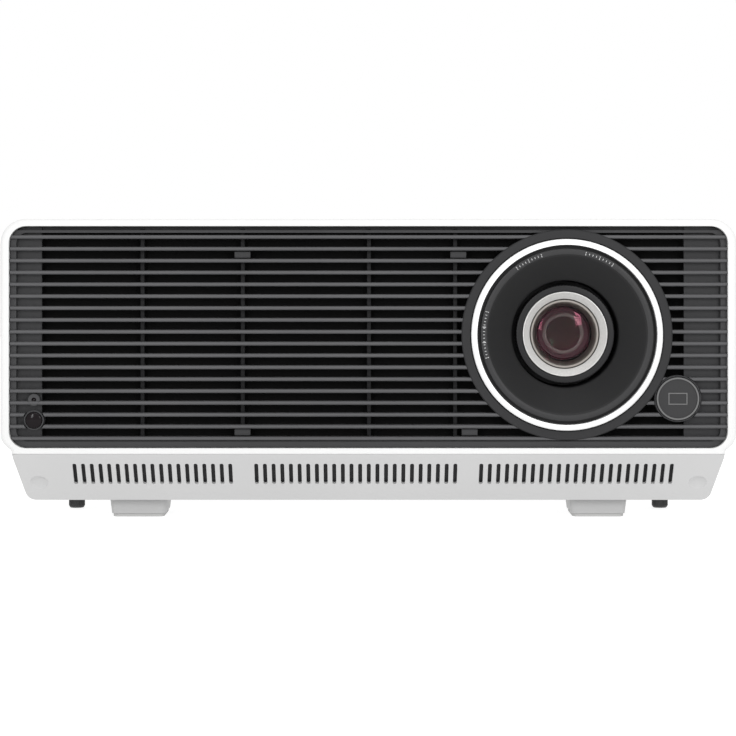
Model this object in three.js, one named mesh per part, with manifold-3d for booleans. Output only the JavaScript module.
// A full-size laser projector for a home or a meeting room, in millimetres.
// +Z is up and the lens looks along -Y. The origin is the middle of its footprint on the table.

import * as THREE from "three";
import { mergeVertices } from "three/addons/utils/BufferGeometryUtils.js";
import Module from "manifold-3d";

const wasm = await Module();
wasm.setup();

// ---------------------------------------------------------------- driving dimensions

// Housing
const BODY_WIDTH = 370;
const BODY_DEPTH = 290;
const BODY_HEIGHT = 143; // without the legs
const LEG_HEIGHT = 9.4;
const WALL = 2.6;
const TOP_RADIUS = 12.5; // round of the two long top edges
const SKIRT_HEIGHT = 25; // the sloped lower front, from the floor up to its crest
const SKIRT_SETBACK = 22; // how far its foot lies behind the front
const SKIRT_TAPER = 6.1; // how far each side leans in below the tuck
const SKIRT_RADIUS = 5;
const TUCK = 5.4; // step in from the straight side to the skirt
const TUCK_RISE = 8.6; // height of the tuck's upper end above the crest
const TUCK_FOOT = 1.6; // height of its lower end above the crest
const RIM_SIDE = 4.5; // white rim round the grille
const RIM_TOP = 3.6;
const RIM_LIP = 2.9;
const RIM_DEPTH = 8;
const RIM_RADIUS = 8.5;

// Gaps
const SEAM = 0.3; // between two fixed pieces
const RUN = 0.4; // between a moving piece and its guide
const CUT = 1; // how far a cutting tool runs past the face it opens

// Slots in the sloped skirt: three groups on one pitch, with two places left out between them
const SLOT_SKIP = 2;
const SLOT_PITCH = 4.365;
const SLOT_INSET_LEFT = 36.8; // from the housing's side to the first slot
const SLOT_INSET_RIGHT = 31.5; // least distance that the last one keeps
const FIRST_GROUP_SHARE = 0.288;
const LAST_GROUP_SHARE = 0.348;
const SLOT_WIDTH = 1.7;
const SLOT_LENGTH = 14;
const SLOT_DROP = 10.55; // slot centre below the crest
const DIMPLE_INSET = 18;
const DIMPLE_DROP = 15.4;
const DIMPLE_RADIUS = 4.5;
const DIMPLE_DEPTH = 1.1;

// Grille
const SLAT_PITCH = 5.96;
const SLAT_TOP_DROP = 9; // first slat's centre below the top of the housing
const SLAT_BOTTOM_ROOM = 3; // least height of the last one above the opening's lower edge
const SLAT_THICKNESS = 2.1;
const SLAT_DEPTH = 7;
const SLAT_INSET = 1.2; // slat fronts behind the front of the housing
const GRILLE_FRAME = 3;
const RIB_INSETS = [71, 121.6, 185.3]; // from the housing's left side
const LENS_RIB_GAP = 3; // between the lens bezel and the rib beside it
const FRAME_STEP = 2; // how far the grille's frame lies behind its slats
const RIB_WIDTH = 2;
const RIB_DEPTH = 5;
const PANEL_LEFT_INSET = 20.4; // inner edges of the closed panels at the grille's ends
const PANEL_RIGHT_INSET = 26;
const PANEL_THICKNESS = 2;

// Small round pieces on the grille
const BADGE_INSET = 29.5; // from the right side
const BADGE_RISE = 27.7; // above the crest
const BADGE_RADIUS = 10.8;
const BADGE_THICKNESS = 1.6;
const IR_INSET = 16.9; // from the left side
const IR_RISE = 16.9;
const IR_RADIUS = 4;
const BOSS_WALL = 2; // round each of them
const LED_RISE = 27.1;
const LED_RADIUS = 0.9;

// Lens: radii, and depths behind the front of the housing
const LENS_INSET = 85.2; // from the right side
const LENS_DROP = 58.15; // below the top
const BEZEL_WIDTH = 4.9;
const BEZEL_DEPTH = 20;
const GRIP_OUTER = 48.1;
const GRIP_INNER = 45.2;
const RING_PROUD = 2.6;
const GRIP_DEPTH = 5;
const DISH_MOUTH = 40.3;
const DISH_CLEARANCE = 2.3; // between the dish's throat and the focus ring
const DISH_DEPTH = 13.5;
const DISH_WALL = 2.2;
const SLEEVE_END = 40;
const FOCUS_RADIUS = 24.9;
const FOCUS_FRONT = 13.9;
const FOCUS_HEAD = 13;
const FOCUS_SHOULDER = 2.7; // from the ring's head down to its tube
const FOCUS_TUBE_WALL = 1.6;
const FOCUS_END = 58;
const FOCUS_FACE_WIDTH = 3.4; // the black face round the trim ring
const TRIM_WIDTH = 3.7;
const TRIM_BACK = 18.4;
const TRIM_LIP = 1.4; // thickness of its inner edge
const RETAINER_STEP = 0.6; // how far its front stands ahead of the trim ring's back
const RETAINER_WIDTH = 2.9;
const SECOND_GLASS_RADIUS = 12;
const PUPIL_RADIUS = 8.4;
const BARREL_START = 30;
const BARREL_STEP = 62;
const BARREL_FLANGE = 88;
const BARREL_FLANGE_WIDTH = 7.2;
const BARREL_FLANGE_THICKNESS = 8;
const BARREL_BORE = 16;
const BARREL_WALL = 3.5;
const BARREL_TAIL = 22; // the spigot that enters the light engine
const ZOOM_CELL_START = 70;
const ZOOM_CELL_LENGTH = 12;
const REAR_GLASS_START = 104;

// Light engine, behind the lens
const MOUNT_PLATE = 4;
const MOUNT_PLATE_MARGIN = 4; // round the barrel's flange
const ENGINE_WIDTH = 82;
const ENGINE_DEPTH = 76;
const ENGINE_HEIGHT = 84;
const ENGINE_WALL = 3;
const LID_THICKNESS = 2.5;
const CHIP_BOARD = 1.6;
const SINK_FIN = 1.4;
const WHEEL_RADIUS = 30;
const WHEEL_THICKNESS = 1.2;
const WHEEL_OFFSET = 63.8; // from the lens axis, to the left
const LASER_DEPTH = 26;
const LASER_GAP = 8;

// Fans behind the grille
const FAN_SIDE = 92;
const FAN_DEPTH = 25;
const FAN_BORE = 44.2;
const FAN_TIP_GAP = 1.2;
const FAN_HUB = 18;
const FAN_BLADES = 7;
const FAN_INSET = 73; // first fan's axis from the left side
const FAN_SPACING = 102;
const FAN_RISE = 59.6; // axes above the crest
const FAN_START = 21;
const SHROUD_THICKNESS = 2;

// Circuit boards and speakers
const BOARD = 1.6;
const MAIN_BOARD_RISE = 50.6; // above the floor of the tub
const MAIN_BOARD_START = 190;
const POWER_BOARD_RISE = 10.6;
const POWER_BOARD_INSET = 39;
const POWER_BOARD_WIDTH = 126;
const POWER_BOARD_START = 62;
const POWER_BOARD_LENGTH = 114;
const SPEAKER_WIDTH = 26;
const SPEAKER_DEPTH = 60;
const SPEAKER_HEIGHT = 58;

// Rear connector bay
const BAY_INSET = 35; // from the left side
const BAY_WIDTH = 194;
const BAY_RISE = 42.6; // above the floor of the tub
const BAY_HEIGHT = 48;
const BAY_RECESS = 7;
const BAY_WALL = 1.8;
const BAY_RADIUS = 5;

// Controls on the top
const CONTROL_INSET = 73; // from the left side
const CONTROL_SETBACK = 42; // from the rear face
const CONTROL_LENGTH = 74;
const CONTROL_WIDTH = 26;
const CONTROL_RECESS = 1.5;
const CONTROL_PLATE = 2;
const CONTROL_SPACING = 20; // from the middle of the plate to each control
const KEY_RADIUS = 6.5;
const KEY_PROUD = 1.1;
const STICK_RADIUS = 5;
const STICK_HOLE = 7;
const PIVOT_DROP = 10; // the stick's tilt centre below the top

// Legs and levelling feet
const LEG_INSET = 67; // from each side
const FRONT_LEG_SETBACK = 30;
const REAR_LEG_SETBACK = 40;
const LEG_WIDTH = 29.5;
const LEG_LENGTH = 34;
const LEG_DRAFT = 1; // how much narrower each side is at the sole
const SOLE_THICKNESS = 1.6;
const SOLE_INSET = 0.6; // from the leg's sides
const SOLE_MARGIN = 0.8; // from its front and back
const FOOT_INSET = 30;
const FOOT_DEPTH = 78;
const FOOT_RADIUS = 4.3;
const FOOT_HEIGHT = 5;
const FOOT_CLEAR = 0.3; // above the table when screwed fully in
const STEM_RADIUS = 3;
const STEM_LENGTH = 24;
const FOOT_BOSS = 7;

// Vents, on the grille's pitch
const VENT_HEIGHT = 2.6;
const SIDE_VENT_ROOM = 24; // least height of a vent above the crest
const SIDE_VENT_LENGTH = 118;
const SIDE_VENT_DEPTH = 150; // of their middle behind the front
const REAR_VENT_ROOM = 46;
const REAR_VENT_LENGTH = 96;
const REAR_VENT_INSET = 73; // their middle from the right side

// Threaded inserts in the floor, for a ceiling bracket
const INSERT_X = 90;
const INSERT_DEPTHS = [110, 230];
const INSERT_RADIUS = 2;
const INSERT_REACH = 8;
const INSERT_BOSS = 6;

// ---------------------------------------------------------------- places that follow

const FRONT = RING_PROUD - (BODY_DEPTH + RING_PROUD) / 2;
const REAR = FRONT + BODY_DEPTH;
const FLOOR = LEG_HEIGHT;
const TOP = FLOOR + BODY_HEIGHT;
const CREST = FLOOR + SKIRT_HEIGHT;
const OPENING_HALF = BODY_WIDTH / 2 - RIM_SIDE;
const OPENING_BOTTOM = CREST + RIM_LIP;
const OPENING_TOP = TOP - RIM_TOP;
const LEFT = -BODY_WIDTH / 2;
const RIGHT = BODY_WIDTH / 2;

const FIRST_SLAT_Z = TOP - SLAT_TOP_DROP;
const FIRST_VENT_Z = FIRST_SLAT_Z - 2 * SLAT_PITCH; // level with the third slat
const rowsDownTo = (first, lowest) => Math.floor((first - lowest) / SLAT_PITCH) + 1;
const SLAT_COUNT = rowsDownTo(FIRST_SLAT_Z, OPENING_BOTTOM + SLAT_BOTTOM_ROOM);
const SIDE_VENTS = rowsDownTo(FIRST_VENT_Z, CREST + SIDE_VENT_ROOM);
const REAR_VENTS = rowsDownTo(FIRST_VENT_Z, CREST + REAR_VENT_ROOM);
const REAR_VENT_X = RIGHT - REAR_VENT_INSET;

const FOCUS_TUBE = FOCUS_RADIUS - FOCUS_SHOULDER;
const FOCUS_BORE = FOCUS_TUBE - FOCUS_TUBE_WALL;
const TRIM_OUTER = FOCUS_RADIUS - FOCUS_FACE_WIDTH;
const TRIM_INNER = TRIM_OUTER - TRIM_WIDTH;
const FRONT_GLASS_RADIUS = TRIM_INNER - RETAINER_WIDTH;
const DISH_THROAT = FOCUS_RADIUS + DISH_CLEARANCE;
const BEARING_RADIUS = DISH_THROAT - RUN;
const BARREL_FLANGE_RADIUS = BEARING_RADIUS + BARREL_FLANGE_WIDTH;
const BEZEL_RADIUS = GRIP_OUTER + BEZEL_WIDTH;
const LENS_X = RIGHT - LENS_INSET;
const LENS_Z = TOP - LENS_DROP;

const BADGE_X = RIGHT - BADGE_INSET;
const BADGE_Z = CREST + BADGE_RISE;
const IR_X = LEFT + IR_INSET;
const IR_Z = CREST + IR_RISE;
const LED_Z = CREST + LED_RISE;
const PANEL_LEFT = LEFT + PANEL_LEFT_INSET;
const PANEL_RIGHT = RIGHT - PANEL_RIGHT_INSET;
const RIB_XS = [...RIB_INSETS.map((inset) => LEFT + inset), LENS_X - BEZEL_RADIUS - LENS_RIB_GAP];

const FAN_XS = [LEFT + FAN_INSET, LEFT + FAN_INSET + FAN_SPACING];
const FAN_Z = CREST + FAN_RISE;
const MAIN_BOARD_Z = FLOOR + MAIN_BOARD_RISE;
const POWER_BOARD_Z = FLOOR + POWER_BOARD_RISE;
const BAY_LEFT = LEFT + BAY_INSET;
const BAY_RIGHT = BAY_LEFT + BAY_WIDTH;
const BAY_BOTTOM = FLOOR + BAY_RISE;
const BAY_TOP = BAY_BOTTOM + BAY_HEIGHT;
const CONTROL_X = LEFT + CONTROL_INSET;
const DIMPLE_X = RIGHT - DIMPLE_INSET;
const LEG_X = RIGHT - LEG_INSET;
const FOOT_X = RIGHT - FOOT_INSET;
const FINE = 36; // sides of a round piece in plain view
const ROUND = 24;
const SMALL = 12;

const behind = (depth) => FRONT + depth;

// ---------------------------------------------------------------- materials

const finish = (color, roughness, metalness = 0) =>
  new THREE.MeshStandardMaterial({ color, roughness, metalness });
const WHITE = finish(0xf2f2f0, 0.45);
const DARK = finish(0x4b4b4d, 0.6);
const BLACK = finish(0x161617, 0.5);
const GLOSS = finish(0x0c0c0e, 0.12);
const SILVER = finish(0xc9c7c2, 0.3, 0.9);
const BRONZE = finish(0x7d7872, 0.4, 0.6);
const CAST = finish(0x8d8f92, 0.5, 0.8);
const STEEL = finish(0xa8aaad, 0.35, 0.9);
const RUBBER = finish(0x1b1b1b, 0.9);
const BOARD_GREEN = finish(0x1d4a2e, 0.55);
const LENS_GLASS = finish(0x9fb4c8, 0.05);
const PHOSPHOR = finish(0xd9c24a, 0.6);
const COPPER = finish(0xb87340, 0.35, 0.9);

// ---------------------------------------------------------------- making solids

// A closed three.js geometry as a solid that can be joined and cut.
function solid(geometry) {
  const bare = geometry.index ? geometry.toNonIndexed() : geometry.clone();
  bare.deleteAttribute("normal");
  bare.deleteAttribute("uv");
  const merged = mergeVertices(bare, 1e-4);
  const corners = merged.index.array;
  const triangles = [];
  for (let i = 0; i < corners.length; i += 3) {
    const [a, b, c] = corners.slice(i, i + 3);
    if (a !== b && b !== c && c !== a) triangles.push(a, b, c);
  }
  return new wasm.Manifold(
    new wasm.Mesh({
      numProp: 3,
      vertProperties: merged.attributes.position.array,
      triVerts: new Uint32Array(triangles),
    }),
  );
}

const fourCorners = (reach, make) => [-reach, reach].flatMap((x) => [-reach, reach].map((z) => make(x, z)));
const join = (...pieces) => pieces.flat().reduce((all, piece) => all.add(piece));
const cut = (body, ...tools) => tools.flat().reduce((left, tool) => left.subtract(tool), body);

// A box between two opposite corners.
function box(x0, x1, y0, y1, z0, z1) {
  const geometry = new THREE.BoxGeometry(x1 - x0, y1 - y0, z1 - z0);
  return solid(geometry.translate((x0 + x1) / 2, (y0 + y1) / 2, (z0 + z1) / 2));
}

// An outline drawn in X and Z, pushed along Y.
function prismY(shape, y0, y1, curveSegments = 4) {
  const geometry = new THREE.ExtrudeGeometry(shape, { depth: y1 - y0, bevelEnabled: false, curveSegments });
  return solid(geometry.rotateX(Math.PI / 2).translate(0, y1, 0));
}

// An outline drawn in X and Y, pushed along Z.
function prismZ(shape, z0, z1, curveSegments = 4) {
  const geometry = new THREE.ExtrudeGeometry(shape, { depth: z1 - z0, bevelEnabled: false, curveSegments });
  return solid(geometry.translate(0, 0, z0));
}

// An outline drawn in Y and Z, pushed along X.
function prismX(shape, x0, x1) {
  const geometry = new THREE.ExtrudeGeometry(shape, { depth: x1 - x0, bevelEnabled: false });
  const axes = new THREE.Matrix4().makeBasis(
    new THREE.Vector3(0, 1, 0),
    new THREE.Vector3(0, 0, 1),
    new THREE.Vector3(1, 0, 0),
  );
  return solid(geometry.applyMatrix4(axes).translate(x0, 0, 0));
}

// Round bars along each axis, from one end to the other.
function rodY(radius, y0, y1, x = 0, z = 0, sides = ROUND) {
  return solid(new THREE.CylinderGeometry(radius, radius, y1 - y0, sides).translate(x, (y0 + y1) / 2, z));
}
function rodZ(radius, z0, z1, x = 0, y = 0, sides = ROUND) {
  const bar = new THREE.CylinderGeometry(radius, radius, z1 - z0, sides).rotateX(Math.PI / 2);
  return solid(bar.translate(x, y, (z0 + z1) / 2));
}
function rodX(radius, x0, x1, y = 0, z = 0, sides = ROUND) {
  const bar = new THREE.CylinderGeometry(radius, radius, x1 - x0, sides).rotateZ(Math.PI / 2);
  return solid(bar.translate((x0 + x1) / 2, y, z));
}

// A profile of [radius, y] points turned about Y. One that leaves the axis is closed on itself.
function turned(profile, sides = ROUND) {
  const closed = profile[0][0] > 0 ? [...profile, profile[0]] : profile;
  const area = closed.slice(1).reduce((sum, [r, y], i) => sum + closed[i][0] * y - r * closed[i][1], 0);
  const ordered = area > 0 ? closed : [...closed].reverse();
  return solid(new THREE.LatheGeometry(ordered.map(([r, y]) => new THREE.Vector2(r, y)), sides));
}

function polygon(points) {
  return new THREE.Shape(points.map(([u, v]) => new THREE.Vector2(u, v)));
}

function roundedRectangle(x0, x1, z0, z1, radius) {
  const shape = new THREE.Shape();
  shape.moveTo(x0 + radius, z0);
  shape.lineTo(x1 - radius, z0);
  shape.absarc(x1 - radius, z0 + radius, radius, -Math.PI / 2, 0);
  shape.lineTo(x1, z1 - radius);
  shape.absarc(x1 - radius, z1 - radius, radius, 0, Math.PI / 2);
  shape.lineTo(x0 + radius, z1);
  shape.absarc(x0 + radius, z1 - radius, radius, Math.PI / 2, Math.PI);
  shape.lineTo(x0, z0 + radius);
  shape.absarc(x0 + radius, z0 + radius, radius, Math.PI, 1.5 * Math.PI);
  return shape;
}

// One named sub-part of the scene graph.
function piece(name, body, material) {
  const { vertProperties, triVerts } = body.getMesh();
  const geometry = new THREE.BufferGeometry();
  geometry.setAttribute("position", new THREE.BufferAttribute(vertProperties, 3));
  geometry.setIndex(new THREE.BufferAttribute(triVerts, 1));
  geometry.computeVertexNormals();
  const mesh = new THREE.Mesh(geometry, material);
  mesh.name = name;
  return mesh;
}

function groupAt(x, y, z, ...meshes) {
  const group = new THREE.Group();
  group.position.set(x, y, z);
  group.add(...meshes);
  return group;
}

// ---------------------------------------------------------------- housing

// The housing's section across X and Z, drawn this far inside the outer skin.
function housingOutline(inset) {
  const half = BODY_WIDTH / 2 - inset;
  const waist = half - TUCK;
  const foot = waist - SKIRT_TAPER;
  const bottom = FLOOR + inset;
  const top = TOP - inset;
  const tuckFoot = CREST + TUCK_FOOT;
  const corner = TOP_RADIUS - inset;
  const round = SKIRT_RADIUS - inset;
  const shape = new THREE.Shape();
  shape.moveTo(round - foot, bottom);
  shape.lineTo(foot - round, bottom);
  shape.quadraticCurveTo(foot, bottom, foot + SKIRT_TAPER * (round / (tuckFoot - bottom)), bottom + round);
  shape.lineTo(waist, tuckFoot);
  shape.quadraticCurveTo(half, CREST + TUCK_RISE / 2, half, CREST + TUCK_RISE);
  shape.lineTo(half, top - corner);
  shape.absarc(half - corner, top - corner, corner, 0, Math.PI / 2);
  shape.lineTo(corner - half, top);
  shape.absarc(corner - half, top - corner, corner, Math.PI / 2, Math.PI);
  shape.lineTo(-half, CREST + TUCK_RISE);
  shape.quadraticCurveTo(-half, CREST + TUCK_RISE / 2, -waist, tuckFoot);
  shape.lineTo(-foot - SKIRT_TAPER * (round / (tuckFoot - bottom)), bottom + round);
  shape.quadraticCurveTo(-foot, bottom, round - foot, bottom);
  return shape;
}

// What the sloped lower front takes away from a block of the housing.
function skirtWedge(inset) {
  const slope = SKIRT_SETBACK / SKIRT_HEIGHT;
  const shift = inset * Math.hypot(1, slope);
  const y = (z) => FRONT + shift + (CREST - z) * slope;
  const below = FLOOR - CUT;
  const above = CREST + inset;
  const ahead = FRONT - CUT;
  const wedge = polygon([[ahead, below], [y(below), below], [y(above), above], [ahead, above]]);
  return prismX(wedge, -BODY_WIDTH, BODY_WIDTH);
}

const housingBlock = (inset, y0, y1) => cut(prismY(housingOutline(inset), y0, y1), skirtWedge(inset));
const hollowShell = cut(housingBlock(0, FRONT, REAR), housingBlock(WALL, behind(RIM_DEPTH), REAR - WALL));
const slab = (z0, z1) => box(-BODY_WIDTH, BODY_WIDTH, FRONT - CUT, REAR + CUT, z0, z1);

function stadium(width, length) {
  const half = width / 2;
  const reach = length / 2 - half;
  const shape = new THREE.Shape();
  shape.absarc(0, reach, half, 0, Math.PI);
  shape.absarc(0, -reach, half, Math.PI, 2 * Math.PI);
  return shape;
}

// A tool drawn flat, laid on the sloped skirt with its -Z side outwards.
function onSkirt(tool, x, drop) {
  const angle = Math.atan2(SKIRT_HEIGHT, -SKIRT_SETBACK);
  const y = FRONT + (drop * SKIRT_SETBACK) / SKIRT_HEIGHT;
  return tool.rotate([THREE.MathUtils.radToDeg(angle), 0, 0]).translate([x, y, CREST - drop]);
}

function slotXs() {
  const places = Math.floor((BODY_WIDTH - SLOT_INSET_LEFT - SLOT_INSET_RIGHT) / SLOT_PITCH) + 1;
  const total = places - 2 * SLOT_SKIP;
  const first = Math.round(total * FIRST_GROUP_SHARE);
  const last = Math.round(total * LAST_GROUP_SHARE);
  let place = 0;
  return [first, total - first - last, last].flatMap((count) => {
    const group = Array.from({ length: count }, (_, i) => LEFT + SLOT_INSET_LEFT + (place + i) * SLOT_PITCH);
    place += count + SLOT_SKIP;
    return group;
  });
}

// Horizontal slots on the grille's pitch, from its third slat down.
function ventRow(count, slot) {
  return Array.from({ length: count }, (_, i) => {
    const z = FIRST_VENT_Z - i * SLAT_PITCH;
    return slot(z - VENT_HEIGHT / 2, z + VENT_HEIGHT / 2);
  });
}

function makeTopCover() {
  const opening = roundedRectangle(-OPENING_HALF, OPENING_HALF, OPENING_BOTTOM, OPENING_TOP, RIM_RADIUS);
  const bay = roundedRectangle(BAY_LEFT, BAY_RIGHT, BAY_BOTTOM, BAY_TOP, BAY_RADIUS);
  const sideStart = behind(SIDE_VENT_DEPTH - SIDE_VENT_LENGTH / 2);
  const rearStart = REAR_VENT_X - REAR_VENT_LENGTH / 2;
  const sideVents = ventRow(SIDE_VENTS, (low, high) =>
    box(-BODY_WIDTH, BODY_WIDTH, sideStart, sideStart + SIDE_VENT_LENGTH, low, high),
  );
  const rearVents = ventRow(REAR_VENTS, (low, high) =>
    box(rearStart, rearStart + REAR_VENT_LENGTH, REAR - WALL - CUT, REAR + CUT, low, high),
  );
  const controls = stadium(CONTROL_WIDTH, CONTROL_LENGTH);
  const controlHole = prismZ(controls, -WALL - CUT, CUT, 8)
    .rotate([0, 0, 90])
    .translate([CONTROL_X, REAR - CONTROL_SETBACK, TOP]);
  return cut(
    hollowShell.intersect(slab(CREST, TOP + CUT)),
    prismY(opening, FRONT - CUT, behind(RIM_DEPTH + CUT), 5),
    prismY(bay, REAR - WALL - CUT, REAR + CUT, 4),
    sideVents,
    rearVents,
    controlHole,
  );
}

function makeBottomTub() {
  const [halfWidth, halfLength] = [SLOT_WIDTH / 2, SLOT_LENGTH / 2];
  const slotTool = box(-halfWidth, halfWidth, -halfLength, halfLength, -RIM_DEPTH - WALL, CUT);
  const dimpleBall = (DIMPLE_RADIUS ** 2 + DIMPLE_DEPTH ** 2) / (2 * DIMPLE_DEPTH);
  const ball = new THREE.SphereGeometry(dimpleBall, 18, 28);
  const dimple = solid(ball.translate(0, 0, dimpleBall - DIMPLE_DEPTH));
  const slots = slotXs().map((x) => onSkirt(slotTool, x, SLOT_DROP));
  const dimples = [-DIMPLE_X, DIMPLE_X].map((x) => onSkirt(dimple, x, DIMPLE_DROP));
  const bosses = [-FOOT_X, FOOT_X].map((x) =>
    rodZ(FOOT_BOSS, FLOOR + WALL / 2, FLOOR + STEM_LENGTH - CUT, x, behind(FOOT_DEPTH), SMALL),
  );
  const bores = [-FOOT_X, FOOT_X].map((x) =>
    rodZ(STEM_RADIUS + RUN, FLOOR - CUT, FLOOR + STEM_LENGTH + CUT, x, behind(FOOT_DEPTH), SMALL),
  );
  const inserts = [-INSERT_X, INSERT_X].flatMap((x) => INSERT_DEPTHS.map((depth) => [x, behind(depth)]));
  const insertBosses = inserts.map(([x, y]) =>
    rodZ(INSERT_BOSS, FLOOR + WALL / 2, FLOOR + INSERT_REACH + CUT, x, y, SMALL),
  );
  const insertBores = inserts.map(([x, y]) =>
    rodZ(INSERT_RADIUS, FLOOR - CUT, FLOOR + INSERT_REACH, x, y, SMALL),
  );
  const tub = hollowShell.intersect(slab(FLOOR - CUT, CREST - SEAM));
  return cut(join(tub, bosses, insertBosses), slots, dimples, bores, insertBores);
}

// ---------------------------------------------------------------- grille and what sits on it

const badgePlace = { x: BADGE_X, z: BADGE_Z, radius: BADGE_RADIUS + SEAM };
const irPlace = { x: IR_X, z: IR_Z, radius: IR_RADIUS + SEAM };
const bossFront = behind(SLAT_INSET - 0.4);
const panelFront = behind(SLAT_INSET + SLAT_DEPTH - CUT);
const panelBack = panelFront + PANEL_THICKNESS;

function makeGrille() {
  const [half, low, high] = [OPENING_HALF - SEAM, OPENING_BOTTOM + SEAM, OPENING_TOP - SEAM];
  const slatFront = behind(SLAT_INSET);
  const slatBack = slatFront + SLAT_DEPTH;
  const ribBack = slatBack + RIB_DEPTH - CUT;
  const outline = prismY(roundedRectangle(-half, half, low, high, RIM_RADIUS - SEAM), slatFront, ribBack, 5);
  const inside = roundedRectangle(
    GRILLE_FRAME - half, half - GRILLE_FRAME, low + GRILLE_FRAME, high - GRILLE_FRAME, RIM_RADIUS - GRILLE_FRAME,
  );
  const frame = cut(
    outline,
    prismY(inside, slatFront - CUT, ribBack + CUT, 5),
    box(-half, half, slatFront - CUT, slatFront + FRAME_STEP, low - CUT, high + CUT),
  );
  const slats = Array.from({ length: SLAT_COUNT }, (_, i) => {
    const z = FIRST_SLAT_Z - i * SLAT_PITCH;
    return box(-half, half, slatFront, slatBack, z - SLAT_THICKNESS / 2, z + SLAT_THICKNESS / 2);
  });
  const ribs = RIB_XS.map((x) => box(x - RIB_WIDTH / 2, x + RIB_WIDTH / 2, panelFront, ribBack, low, high));
  const panels = [
    box(-half, PANEL_LEFT, panelFront, panelBack, low, high),
    box(PANEL_RIGHT, half, panelFront, panelBack, low, high),
  ];
  const bezel = rodY(BEZEL_RADIUS, behind(0.6), behind(BEZEL_DEPTH), LENS_X, LENS_Z, FINE);
  const lensHole = rodY(GRIP_OUTER + RUN, FRONT - CUT, behind(BEZEL_DEPTH + CUT), LENS_X, LENS_Z, FINE);
  const bosses = [badgePlace, irPlace].map(({ x, z, radius }) =>
    rodY(radius + BOSS_WALL, bossFront, panelBack, x, z, ROUND),
  );
  const seats = [badgePlace, irPlace].map(({ x, z, radius }) =>
    rodY(radius, FRONT - CUT, bossFront + BADGE_THICKNESS + SEAM, x, z, ROUND),
  );
  const ledBoss = rodY(LED_RADIUS + BOSS_WALL, behind(SLAT_INSET), panelBack, IR_X, LED_Z, SMALL);
  const ledHole = rodY(LED_RADIUS + SEAM, FRONT - CUT, panelBack + CUT, IR_X, LED_Z, SMALL);
  const lattice = join(slats, ribs, panels).intersect(outline);
  return cut(join(lattice, frame, bezel, bosses, ledBoss), lensHole, seats, ledHole);
}

const makeBadge = () => rodY(BADGE_RADIUS, bossFront, bossFront + BADGE_THICKNESS, BADGE_X, BADGE_Z, FINE);
const makeIrWindow = () => rodY(IR_RADIUS, bossFront, bossFront + BADGE_THICKNESS, IR_X, IR_Z, ROUND);
const makeStatusLed = () => rodY(LED_RADIUS, behind(SLAT_INSET + 0.4), panelBack, IR_X, LED_Z, SMALL);

// ---------------------------------------------------------------- lens, in its own frame: Y is depth

// A round glass with its rim between two depths, its faces bulging by their rises.
function glass(radius, rimFront, rimBack, riseFront, riseBack) {
  const steps = 3;
  const face = (y, rise) => (i) => [(radius * i) / steps, y + rise * (1 - (i / steps) ** 2)];
  const front = Array.from({ length: steps + 1 }, (_, i) => face(rimFront, -riseFront)(i));
  const back = Array.from({ length: steps + 1 }, (_, i) => face(rimBack, riseBack)(steps - i));
  return turned([...front, ...back], ROUND);
}

const retainerBack = TRIM_BACK + 4.6;
const glassSeat = retainerBack + SEAM;
const baffleFront = glassSeat + 5;
const baffleBack = baffleFront + 2;
const cellRadius = FOCUS_BORE - RUN;
const cellFront = TRIM_BACK + 3.2;
const retainerOuter = TRIM_INNER - RUN;
const mountFace = BARREL_FLANGE + BARREL_FLANGE_THICKNESS;
const engineFront = mountFace + SEAM + MOUNT_PLATE + SEAM;
const engineBack = engineFront + ENGINE_DEPTH;
const spigotHole = BARREL_BORE + BARREL_WALL + SEAM;

const makeGripRing = () => {
  const chamfer = GRIP_INNER + 0.8;
  return turned([
    [GRIP_INNER, -RING_PROUD], [chamfer, -RING_PROUD], [GRIP_OUTER, 0],
    [GRIP_OUTER, GRIP_DEPTH], [GRIP_INNER, GRIP_DEPTH],
  ], FINE);
};

function makeDish() {
  const rim = GRIP_INNER - SEAM;
  const sleeve = DISH_THROAT + DISH_WALL;
  return turned([
    [DISH_THROAT, DISH_DEPTH], [DISH_MOUTH - 0.8, 0.4], [DISH_MOUTH, -0.4], [rim - 1.6, -0.4], [rim - 1.3, 0.8],
    [rim, 0.8], [rim, GRIP_DEPTH], [DISH_MOUTH - 0.6, GRIP_DEPTH], [sleeve, DISH_DEPTH + DISH_WALL],
    [sleeve, SLEEVE_END], [DISH_THROAT, SLEEVE_END],
  ], FINE);
}

function makeFocusRing() {
  const pocket = TRIM_OUTER + SEAM;
  const headBack = FOCUS_FRONT + FOCUS_HEAD;
  return turned([
    [pocket, FOCUS_FRONT], [FOCUS_RADIUS - 0.5, FOCUS_FRONT], [FOCUS_RADIUS, FOCUS_FRONT + 0.5],
    [FOCUS_RADIUS, headBack], [FOCUS_TUBE, headBack], [FOCUS_TUBE, FOCUS_END], [FOCUS_BORE, FOCUS_END],
    [FOCUS_BORE, TRIM_BACK + SEAM], [pocket, TRIM_BACK + SEAM],
  ], FINE);
}

const makeTrimRing = () =>
  turned([
    [TRIM_OUTER, FOCUS_FRONT - SEAM], [TRIM_OUTER, TRIM_BACK],
    [TRIM_INNER, TRIM_BACK], [TRIM_INNER, TRIM_BACK - TRIM_LIP],
  ], FINE);

const makeRetainer = () =>
  turned([
    [FRONT_GLASS_RADIUS - 0.8, retainerBack], [retainerOuter - 1.1, TRIM_BACK - RETAINER_STEP],
    [retainerOuter, TRIM_BACK - RETAINER_STEP], [retainerOuter, retainerBack],
  ], FINE);

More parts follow.
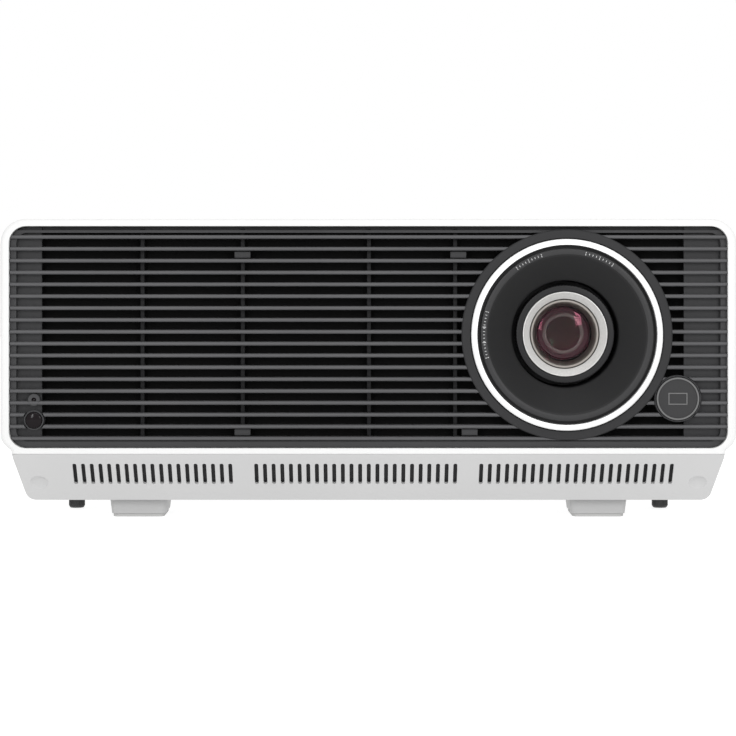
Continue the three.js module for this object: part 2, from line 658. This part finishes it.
function makeFrontCell() {
  const seat = FRONT_GLASS_RADIUS + SEAM;
  const second = SECOND_GLASS_RADIUS + SEAM;
  const back = baffleBack + 14;
  return turned([
    [retainerOuter + SEAM, cellFront], [cellRadius, cellFront], [cellRadius, back], [second, back],
    [second, baffleBack], [PUPIL_RADIUS, baffleBack], [PUPIL_RADIUS, baffleFront], [seat, baffleFront],
    [seat, glassSeat], [retainerOuter + SEAM, glassSeat],
  ], ROUND);
}

function makeBarrel() {
  const focusGuide = FOCUS_TUBE + RUN;
  const tail = BARREL_BORE + BARREL_WALL;
  return turned([
    [focusGuide, BARREL_START], [BEARING_RADIUS, BARREL_START], [BEARING_RADIUS, BARREL_FLANGE],
    [BARREL_FLANGE_RADIUS, BARREL_FLANGE], [BARREL_FLANGE_RADIUS, mountFace], [tail, mountFace],
    [tail, mountFace + BARREL_TAIL], [BARREL_BORE, mountFace + BARREL_TAIL], [BARREL_BORE, BARREL_STEP],
    [focusGuide, BARREL_STEP],
  ], ROUND);
}

function makeZoomCell() {
  const [outer, inner] = [BARREL_BORE - RUN, SECOND_GLASS_RADIUS + SEAM];
  const back = ZOOM_CELL_START + ZOOM_CELL_LENGTH;
  return turned([[inner, ZOOM_CELL_START], [outer, ZOOM_CELL_START], [outer, back], [inner, back]], ROUND);
}

function makeMountPlate() {
  const half = BARREL_FLANGE_RADIUS + MOUNT_PLATE_MARGIN;
  const [front, back] = [mountFace + SEAM, mountFace + SEAM + MOUNT_PLATE];
  const plate = prismY(roundedRectangle(-half, half, -half, half, 5), front, back, 3);
  const screws = fourCorners(half - 6, (x, z) => rodY(2, front - CUT, back + CUT, x, z, SMALL));
  return cut(plate, rodY(spigotHole, front - CUT, back + CUT), screws);
}

function lensAssembly() {
  return groupAt(
    LENS_X, FRONT, LENS_Z,
    piece("zoom_grip_ring", makeGripRing(), WHITE),
    piece("lens_dish", makeDish(), BLACK),
    piece("focus_ring", makeFocusRing(), BLACK),
    piece("focus_trim_ring", makeTrimRing(), SILVER),
    piece("front_retaining_ring", makeRetainer(), BRONZE),
    piece("front_lens_cell", makeFrontCell(), BLACK),
    piece("front_lens", glass(FRONT_GLASS_RADIUS, glassSeat + 0.7, glassSeat + 3.7, 2.2, -1), LENS_GLASS),
    piece("second_lens", glass(SECOND_GLASS_RADIUS, baffleBack + 0.8, baffleBack + 4.8, 1.3, 1.5), LENS_GLASS),
    piece("zoom_lens_cell", makeZoomCell(), BLACK),
    piece("zoom_lens", glass(SECOND_GLASS_RADIUS, ZOOM_CELL_START + 3, ZOOM_CELL_START + 8, -1.5, 2), LENS_GLASS),
    piece("lens_barrel", makeBarrel(), BLACK),
    piece("rear_lens", glass(BARREL_BORE - SEAM, REAR_GLASS_START, REAR_GLASS_START + 5, 2, 2), LENS_GLASS),
    piece("lens_mount_plate", makeMountPlate(), CAST),
  );
}

// ---------------------------------------------------------------- light engine, in the lens frame

const engineHalf = ENGINE_WIDTH / 2;
const engineLow = -ENGINE_HEIGHT / 2;
const engineHigh = engineLow + ENGINE_HEIGHT;

function makeEngineHousing() {
  const wall = ENGINE_WALL;
  const block = box(-engineHalf, engineHalf, engineFront, engineBack, engineLow, engineHigh);
  const hollow = box(
    wall - engineHalf, engineHalf - wall, engineFront + wall, engineBack - wall, engineLow + wall, engineHigh + CUT,
  );
  const middle = (engineFront + engineBack) / 2;
  return cut(
    block,
    hollow,
    rodY(spigotHole, engineFront - CUT, engineFront + wall + CUT),
    rodX(12, -engineHalf - CUT, wall - engineHalf + CUT, middle),
    rodX(10, engineHalf - wall - CUT, engineHalf + CUT, middle),
    rodY(14, engineBack - wall - CUT, engineBack + CUT),
  );
}

const makeEngineLid = () =>
  box(-engineHalf, engineHalf, engineFront, engineBack, engineHigh + SEAM, engineHigh + SEAM + LID_THICKNESS);

// A plate with upright fins standing off its far face, along +Y.
function finnedSink(width, height, y, base, fins, reach) {
  const plate = box(-width / 2, width / 2, y, y + base, -height / 2, height / 2);
  const step = (width - SINK_FIN) / (fins - 1);
  const blades = Array.from({ length: fins }, (_, i) => {
    const x = -width / 2 + i * step;
    return box(x, x + SINK_FIN, y + base / 2, y + base + reach, -height / 2, height / 2);
  });
  return join(plate, blades);
}

function makeChipBoard() {
  const x = engineHalf + SEAM;
  const y = (engineFront + engineBack) / 2;
  return join(
    box(x, x + CHIP_BOARD, y - 32, y + 32, -34, 34),
    box(x + CHIP_BOARD / 2, x + CHIP_BOARD + 4, y + 22, y + 28, -24, 24),
  );
}

function makeLaserBank() {
  const [y0, y1] = [engineBack + LASER_GAP, engineBack + LASER_GAP + LASER_DEPTH];
  const block = box(-38, 38, y0, y1, -36, 36);
  const lenses = [-24, 0, 24].flatMap((x) => [-14, 14].map((z) => rodY(5, y0 - 3, y0 + CUT, x, z, SMALL)));
  return join(block, lenses);
}

function makeWheel() {
  const half = WHEEL_THICKNESS / 2;
  const disc = rodX(WHEEL_RADIUS, -half, half, 0, 0, FINE);
  const hub = rodX(9, -half - 3, half + 2, 0, 0, SMALL);
  return join(disc, hub);
}

function makeWheelMotor() {
  const start = -WHEEL_THICKNESS / 2 - 3 - RUN;
  const can = rodX(14, start - 16, start, 0, 0, ROUND);
  const plate = box(start - 19, start - 15, -22, 22, -22, 22);
  return join(can, plate);
}

function lightEngine() {
  const engineMiddle = (engineFront + engineBack) / 2;
  const laserBack = engineBack + LASER_GAP + LASER_DEPTH + SEAM;
  const chipSink = finnedSink(58, 62, 0, 3, 9, 14).rotate([0, 0, -90]);
  return groupAt(
    LENS_X, FRONT, LENS_Z,
    piece("engine_housing", makeEngineHousing(), CAST),
    piece("engine_lid", makeEngineLid(), CAST),
    piece("chip_board", makeChipBoard(), BOARD_GREEN),
    piece("chip_heatsink", chipSink.translate([engineHalf + 2 * SEAM + CHIP_BOARD + 4, engineMiddle, 0]), CAST),
    piece("laser_bank", makeLaserBank(), COPPER),
    piece("laser_heatsink", finnedSink(84, 78, laserBack, 5, 15, 28), CAST),
    groupAt(
      -WHEEL_OFFSET, engineMiddle, 0,
      piece("phosphor_wheel", makeWheel(), PHOSPHOR),
      piece("wheel_motor", makeWheelMotor(), STEEL),
    ),
  );
}

// ---------------------------------------------------------------- fans

function makeFanFrame() {
  const half = FAN_SIDE / 2;
  const back = FAN_DEPTH;
  const body = cut(
    prismY(roundedRectangle(-half, half, -half, half, 5), 0, back, 3),
    rodY(FAN_BORE, -CUT, back + CUT, 0, 0, 36),
    fourCorners(half - 5, (x, z) => rodY(2.2, -CUT, back + CUT, x, z, 6)),
  );
  const arm = box(-FAN_BORE - CUT, FAN_BORE + CUT, back - 3, back, -2, 2);
  const arms = [45, 135].map((angle) => arm.rotate([0, angle, 0]));
  return join(body, arms, rodY(FAN_HUB - 1, back - 3.4, back, 0, 0, ROUND));
}

function makeFanRotor() {
  const tip = FAN_BORE - FAN_TIP_GAP;
  const [start, end] = [1.5, FAN_DEPTH - 3.4 - RUN];
  const blade = polygon([
    [-4.5, start + 2], [-2, start + 0.8], [4, end - 5.5], [4.8, end - 2.5], [3.4, end - 2.2], [-3, start + 4.5],
  ]);
  const made = prismZ(blade, FAN_HUB - 2, tip, 2);
  const blades = Array.from({ length: FAN_BLADES }, (_, i) => made.rotate([0, (360 / FAN_BLADES) * i, 0]));
  const limit = rodY(tip, start, end, 0, 0, 36);
  return join(rodY(FAN_HUB, start, end, 0, 0, ROUND), blades).intersect(limit);
}

function fan(side, x) {
  return groupAt(
    x, behind(FAN_START), FAN_Z,
    piece(`${side}_fan_frame`, makeFanFrame(), BLACK),
    piece(`${side}_fan_rotor`, makeFanRotor(), BLACK),
  );
}

function makeShroud() {
  const [front, back] = [behind(FAN_START) - SEAM - SHROUD_THICKNESS, behind(FAN_START) - SEAM];
  const [left, right] = [FAN_XS[0] - FAN_SIDE / 2 - 4, FAN_XS[1] + FAN_SIDE / 2 + 3];
  const plate = box(left, right, front, back, FAN_Z - FAN_SIDE / 2 - 4, FAN_Z + FAN_SIDE / 2 + 2);
  const holes = FAN_XS.map((x) => rodY(FAN_BORE, front - CUT, back + CUT, x, FAN_Z, 36));
  const tabs = [FAN_XS[0] + FAN_SIDE / 2 + 2, right - 9].flatMap((x) =>
    [FAN_Z + FAN_SIDE / 2 - 4, FAN_Z - FAN_SIDE / 2 - 3].map((z) => box(x, x + 8, front - 3, front + CUT, z, z + 5)),
  );
  return join(cut(plate, holes), tabs);
}

// ---------------------------------------------------------------- boards, speakers

function makeMainBoard() {
  const [left, right, front] = [BAY_LEFT + 4, BAY_RIGHT - 4, behind(MAIN_BOARD_START)];
  const board = box(left, right, front, REAR - BAY_RECESS - BAY_WALL - 2, MAIN_BOARD_Z, MAIN_BOARD_Z + BOARD);
  const chips = [40, 88, 136].map((inset) => BAY_LEFT + inset).map((x) =>
    box(x - 12, x + 12, front + 14, front + 38, MAIN_BOARD_Z + BOARD / 2, MAIN_BOARD_Z + BOARD + 3),
  );
  return join(board, chips);
}

function makePowerBoard() {
  const [left, front, top] = [LEFT + POWER_BOARD_INSET, behind(POWER_BOARD_START), POWER_BOARD_Z + BOARD];
  const board = box(left, left + POWER_BOARD_WIDTH, front, front + POWER_BOARD_LENGTH, POWER_BOARD_Z, top);
  const transformer = box(left + 54, left + 86, front + 40, front + 74, top - CUT, top + 26);
  const choke = box(left + 94, left + 112, front + 46, front + 70, top - CUT, top + 18);
  const capacitors = [14, 36].map((inset) => rodZ(9, top - CUT, top + 28, left + inset, front + 82, SMALL));
  const sink = box(left + 8, left + 46, front + 50, front + 54, top - CUT, top + 24);
  return join(board, transformer, choke, capacitors, sink);
}

// A speaker in its box, facing along +X from the origin.
function makeSpeaker() {
  const [halfDepth, halfHeight] = [SPEAKER_DEPTH / 2, SPEAKER_HEIGHT / 2];
  const enclosure = box(-SPEAKER_WIDTH, 0, -halfDepth, halfDepth, -halfHeight, halfHeight);
  const recess = rodX(21, -3, CUT, 0, 0, ROUND);
  const dome = rodX(9, -4, -1, 0, 0, SMALL);
  return join(cut(enclosure, recess), dome);
}

function speakers() {
  const reach = BODY_WIDTH / 2 - WALL - 2;
  const [y, z] = [behind(240), CREST + 40];
  const left = groupAt(-reach, y, z, piece("left_speaker", makeSpeaker(), BLACK));
  left.rotation.z = Math.PI;
  return [left, groupAt(reach, y, z, piece("right_speaker", makeSpeaker(), BLACK))];
}

// ---------------------------------------------------------------- rear connector bay

const bayPlate = REAR - BAY_RECESS; // outer face of its plate
const boardTop = MAIN_BOARD_Z + BOARD + SEAM;

// Each socket: outer width and height, how far it reaches in, and the mouth that a plug enters.
const SOCKETS = {
  hdmi_socket_1: { x: BAY_LEFT + 58, width: 16, height: 6.8, reach: 12, mouth: [14.2, 4.8, 9.5], skin: STEEL },
  hdmi_socket_2: { x: BAY_LEFT + 82, width: 16, height: 6.8, reach: 12, mouth: [14.2, 4.8, 9.5], skin: STEEL },
  usb_socket: { x: BAY_LEFT + 104, width: 14.6, height: 7.4, reach: 14, mouth: [12.6, 5.2, 11], skin: STEEL },
  network_socket: { x: BAY_LEFT + 126, width: 16, height: 13.6, reach: 18, mouth: [11.8, 8, 12], skin: STEEL },
};
const JACK = { x: BAY_LEFT + 36, radius: 3.6, hole: 1.8, z: boardTop + 4.2 };
const SERIAL = { x: BAY_LEFT + 160, width: 31, height: 12.6, shell: 17, shellHeight: 8.4 };
const INLET = { x: BAY_LEFT + 17, width: 28, height: 20, mouth: [24.2, 16.4, 15], z: BAY_TOP - 16 };

const socketSpan = ({ x, width, height }) => [x - width / 2, x + width / 2, boardTop, boardTop + height];

function makeSocket({ x, width, height, reach, mouth, skin }, name) {
  const [x0, x1, z0, z1] = socketSpan({ x, width, height });
  const [wide, tall, deep] = mouth;
  const z = (z0 + z1) / 2;
  const block = box(x0, x1, bayPlate - reach, bayPlate + 0.4, z0, z1);
  const hollow = box(x - wide / 2, x + wide / 2, bayPlate + 0.4 - deep, bayPlate + CUT, z - tall / 2, z + tall / 2);
  return piece(name, cut(block, hollow), skin);
}

function makeRearPanel() {
  const grow = (n) => roundedRectangle(BAY_LEFT + n, BAY_RIGHT - n, BAY_BOTTOM + n, BAY_TOP - n, BAY_RADIUS - n);
  const tray = cut(
    prismY(grow(SEAM), bayPlate - BAY_WALL, REAR - 0.6, 4),
    prismY(grow(SEAM + BAY_WALL), bayPlate, REAR + CUT, 4),
  );
  const through = (x0, x1, z0, z1) =>
    box(x0 - SEAM, x1 + SEAM, bayPlate - BAY_WALL - CUT, bayPlate + CUT, z0 - SEAM, z1 + SEAM);
  const throughAt = (x, z, width, height) => through(x - width / 2, x + width / 2, z - height / 2, z + height / 2);
  const holes = Object.values(SOCKETS).map((socket) => through(...socketSpan(socket)));
  return cut(
    tray,
    holes,
    throughAt(SERIAL.x, boardTop + SERIAL.height / 2, SERIAL.shell, SERIAL.shellHeight),
    throughAt(INLET.x, INLET.z, INLET.width, INLET.height),
    rodY(JACK.radius + SEAM, bayPlate - BAY_WALL - CUT, bayPlate + CUT, JACK.x, JACK.z, SMALL),
  );
}

function makeSerialSocket() {
  const z = boardTop + SERIAL.height / 2;
  const inner = bayPlate - BAY_WALL - SEAM;
  const half = SERIAL.shellHeight / 2;
  const flangeHalf = SERIAL.width / 2;
  const flange = box(SERIAL.x - flangeHalf, SERIAL.x + flangeHalf, inner - 8, inner, boardTop, boardTop + SERIAL.height);
  const shell = polygon([
    [SERIAL.x - SERIAL.shell / 2 + 1.6, z - half], [SERIAL.x + SERIAL.shell / 2 - 1.6, z - half],
    [SERIAL.x + SERIAL.shell / 2, z + half], [SERIAL.x - SERIAL.shell / 2, z + half],
  ]);
  return join(flange, prismY(shell, inner - CUT, REAR - 1.4));
}

function makeAudioJack() {
  const barrel = rodY(JACK.radius, bayPlate - 12, bayPlate + 0.8, JACK.x, JACK.z, SMALL);
  const body = box(JACK.x - 4, JACK.x + 4, bayPlate - 14, bayPlate - BAY_WALL - SEAM, boardTop, boardTop + 8);
  return cut(join(barrel, body), rodY(JACK.hole, bayPlate - 11, bayPlate + CUT, JACK.x, JACK.z, SMALL));
}

function makeInlet() {
  const [wide, tall, deep] = INLET.mouth;
  const span = (w, h) => [INLET.x - w / 2, INLET.x + w / 2, INLET.z - h / 2, INLET.z + h / 2];
  const block = (w, h, y0, y1) => {
    const [x0, x1, z0, z1] = span(w, h);
    return box(x0, x1, y0, y1, z0, z1);
  };
  return cut(
    block(INLET.width, INLET.height, bayPlate - deep - 3, bayPlate + 1),
    block(wide, tall, bayPlate + 1 - deep, bayPlate + 1 + CUT),
  );
}

// ---------------------------------------------------------------- controls, in the control plate's frame

const plateTop = -CONTROL_RECESS;
const plateBottom = plateTop - CONTROL_PLATE;
const pivotZ = -PIVOT_DROP;
const TRUNNION = 1;
const LUG_GAP = 9.2;

function makeControlPlate() {
  const outline = stadium(CONTROL_WIDTH - 2 * SEAM, CONTROL_LENGTH - 2 * SEAM);
  const plate = prismZ(outline, plateBottom, plateTop, 8).rotate([0, 0, 90]);
  const lug = (x) => box(x, x + 2.2, -3, 3, pivotZ - 3, plateBottom + CUT);
  const lugs = [CONTROL_SPACING + LUG_GAP, CONTROL_SPACING - LUG_GAP - 2.2].map(lug);
  const keyHole = rodZ(KEY_RADIUS + RUN, plateBottom - CUT, plateTop + CUT, -CONTROL_SPACING, 0);
  const stickHole = rodZ(STICK_HOLE, plateBottom - CUT, plateTop + CUT, CONTROL_SPACING, 0);
  const pivots = rodX(TRUNNION + SEAM, CONTROL_SPACING - 13, CONTROL_SPACING + 13, 0, pivotZ, SMALL);
  return cut(join(plate, lugs), keyHole, stickHole, pivots);
}

function makePowerKey() {
  const flangeTop = plateBottom - SEAM;
  return join(
    rodZ(KEY_RADIUS, flangeTop - CUT, plateTop + KEY_PROUD),
    rodZ(KEY_RADIUS + 2, flangeTop - 1.6, flangeTop),
  );
}

function makeGimbal() {
  const ring = cut(rodZ(8, pivotZ - 1.8, pivotZ + 1.8), rodZ(6.2, pivotZ - 3, pivotZ + 3));
  const pins = [-11, 7].map((start) => rodX(TRUNNION, start, start + 4, 0, pivotZ, SMALL));
  return cut(join(ring, pins), rodY(TRUNNION + SEAM, -9, 9, 0, pivotZ, 12));
}

function makeRocker() {
  const hub = rodZ(3.8, pivotZ - 2.5, pivotZ + 2.5, 0, 0, SMALL);
  const pins = rodY(TRUNNION, -7.4, 7.4, 0, pivotZ, 12);
  return cut(join(hub, pins), rodZ(1.8, pivotZ - 4, pivotZ + 4, 0, 0, 12));
}

function makeStickCap() {
  const head = rodZ(STICK_RADIUS, plateTop - 1.4, plateTop + 1.2);
  return join(head, rodZ(1.4, pivotZ - 2, plateTop - 1, 0, 0, 12));
}

function controls() {
  return groupAt(
    CONTROL_X, REAR - CONTROL_SETBACK, TOP,
    piece("control_plate", makeControlPlate(), DARK),
    groupAt(-CONTROL_SPACING, 0, 0, piece("power_key", makePowerKey(), BLACK)),
    groupAt(
      CONTROL_SPACING, 0, 0,
      piece("joystick_gimbal", makeGimbal(), BLACK),
      piece("joystick_rocker", makeRocker(), BLACK),
      piece("joystick_cap", makeStickCap(), BLACK),
    ),
  );
}

// ---------------------------------------------------------------- legs and feet

function makeLeg() {
  const [top, low] = [LEG_WIDTH / 2, LEG_WIDTH / 2 - LEG_DRAFT];
  const front = polygon([[-low, SOLE_THICKNESS], [low, SOLE_THICKNESS], [top, FLOOR], [-top, FLOOR]]);
  return prismY(front, 0, LEG_LENGTH);
}

function makeSole() {
  const half = LEG_WIDTH / 2 - LEG_DRAFT - SOLE_INSET;
  return prismZ(roundedRectangle(-half, half, SOLE_MARGIN, LEG_LENGTH - SOLE_MARGIN, 3), 0, SOLE_THICKNESS, 3);
}

function frontLeg(side, x) {
  const y = behind(FRONT_LEG_SETBACK);
  return groupAt(
    x, y, 0,
    piece(`front_${side}_leg`, makeLeg(), WHITE),
    piece(`front_${side}_sole`, makeSole(), RUBBER),
  );
}

// The rear stands on two plain rubber blocks.
function rearLeg(side, x) {
  const half = LEG_WIDTH / 2;
  const block = prismZ(roundedRectangle(-half, half, 0, LEG_LENGTH, 4), 0, FLOOR, 3);
  return groupAt(x, REAR - REAR_LEG_SETBACK - LEG_LENGTH, 0, piece(`rear_${side}_leg`, block, RUBBER));
}

const makeStem = () =>
  rodZ(STEM_RADIUS, FOOT_CLEAR + FOOT_HEIGHT + SEAM, FLOOR + STEM_LENGTH, 0, 0, SMALL);

function makeFootPad() {
  const top = FOOT_CLEAR + FOOT_HEIGHT;
  return rodZ(FOOT_RADIUS, FOOT_CLEAR, top, 0, 0, ROUND);
}

function foot(side, x) {
  return groupAt(
    x, behind(FOOT_DEPTH), 0,
    piece(`${side}_foot_stem`, makeStem(), STEEL),
    piece(`${side}_foot_pad`, makeFootPad(), RUBBER),
  );
}

// ---------------------------------------------------------------- the projector

const projector = new THREE.Group();
projector.name = "projector";
projector.add(
  piece("top_cover", makeTopCover(), WHITE),
  piece("bottom_tub", makeBottomTub(), WHITE),
  piece("front_grille", makeGrille(), DARK),
  piece("badge_disc", makeBadge(), DARK),
  piece("ir_window", makeIrWindow(), GLOSS),
  piece("status_led", makeStatusLed(), GLOSS),
  lensAssembly(),
  lightEngine(),
  piece("fan_shroud", makeShroud(), BLACK),
  fan("left", FAN_XS[0]),
  fan("right", FAN_XS[1]),
  piece("main_board", makeMainBoard(), BOARD_GREEN),
  piece("power_board", makePowerBoard(), BOARD_GREEN),
  ...speakers(),
  piece("rear_panel", makeRearPanel(), DARK),
  ...Object.entries(SOCKETS).map(([name, socket]) => makeSocket(socket, name)),
  piece("serial_socket", makeSerialSocket(), STEEL),
  piece("audio_jack", makeAudioJack(), BLACK),
  piece("power_inlet", makeInlet(), BLACK),
  controls(),
  frontLeg("left", -LEG_X),
  frontLeg("right", LEG_X),
  rearLeg("left", -LEG_X),
  rearLeg("right", LEG_X),
  foot("left", -FOOT_X),
  foot("right", FOOT_X),
);

export default projector;
